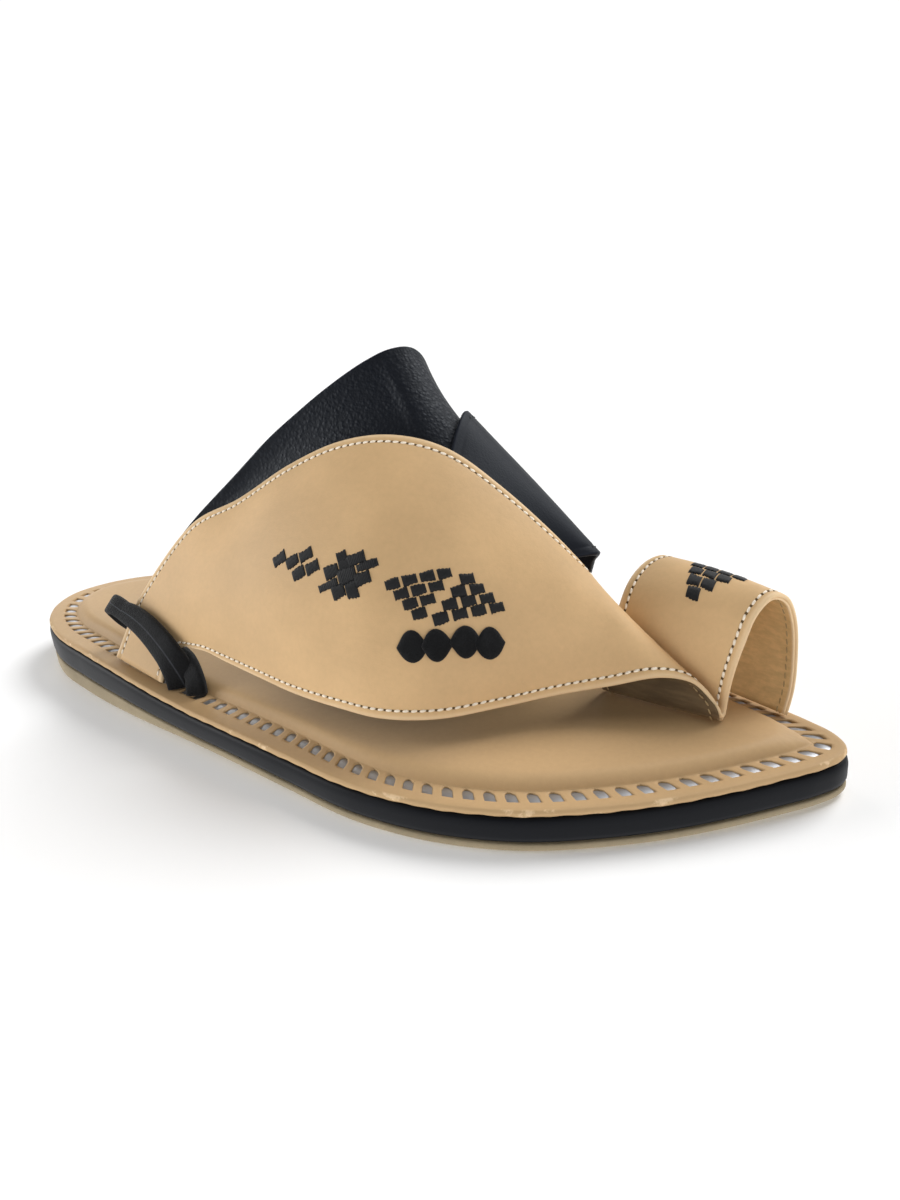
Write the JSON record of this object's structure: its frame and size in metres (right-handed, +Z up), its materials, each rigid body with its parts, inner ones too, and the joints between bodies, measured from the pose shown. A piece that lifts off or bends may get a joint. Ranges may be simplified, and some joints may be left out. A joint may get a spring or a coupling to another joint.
{
  "type": "arabic sandal",
  "caption": "Right foot sandal with a wide tan leather vamp, big toe loop, black wing and strap, keeper loop at the outer heel and a flat layered sole with a slotted rim.",
  "frame": {"origin": "middle of the sole's length and width, on the floor", "axes": "+X to the toe, +Y to the inner side where the big toe is, +Z up"},
  "size_m": [0.2868, 0.1026, 0.1101],
  "materials": {
    "outsole": "matt greyish beige",
    "midsole": "smooth satin black",
    "footbed": "smooth tan leather, padded",
    "lacing": "silver strip",
    "upper": "smooth tan nubuck leather",
    "instep_strap": "smooth black leather",
    "medial_wing": "pebbled black leather",
    "keeper_loop": "black suede"
  },
  "bodies": {
    "root": {"outsole": "outsole", "midsole": "midsole", "footbed": "footbed", "lacing": "lacing", "upper": "upper", "instep_strap": "instep_strap", "medial_wing": "medial_wing", "keeper_loop": "keeper_loop"}
  },
  "joints": []
}
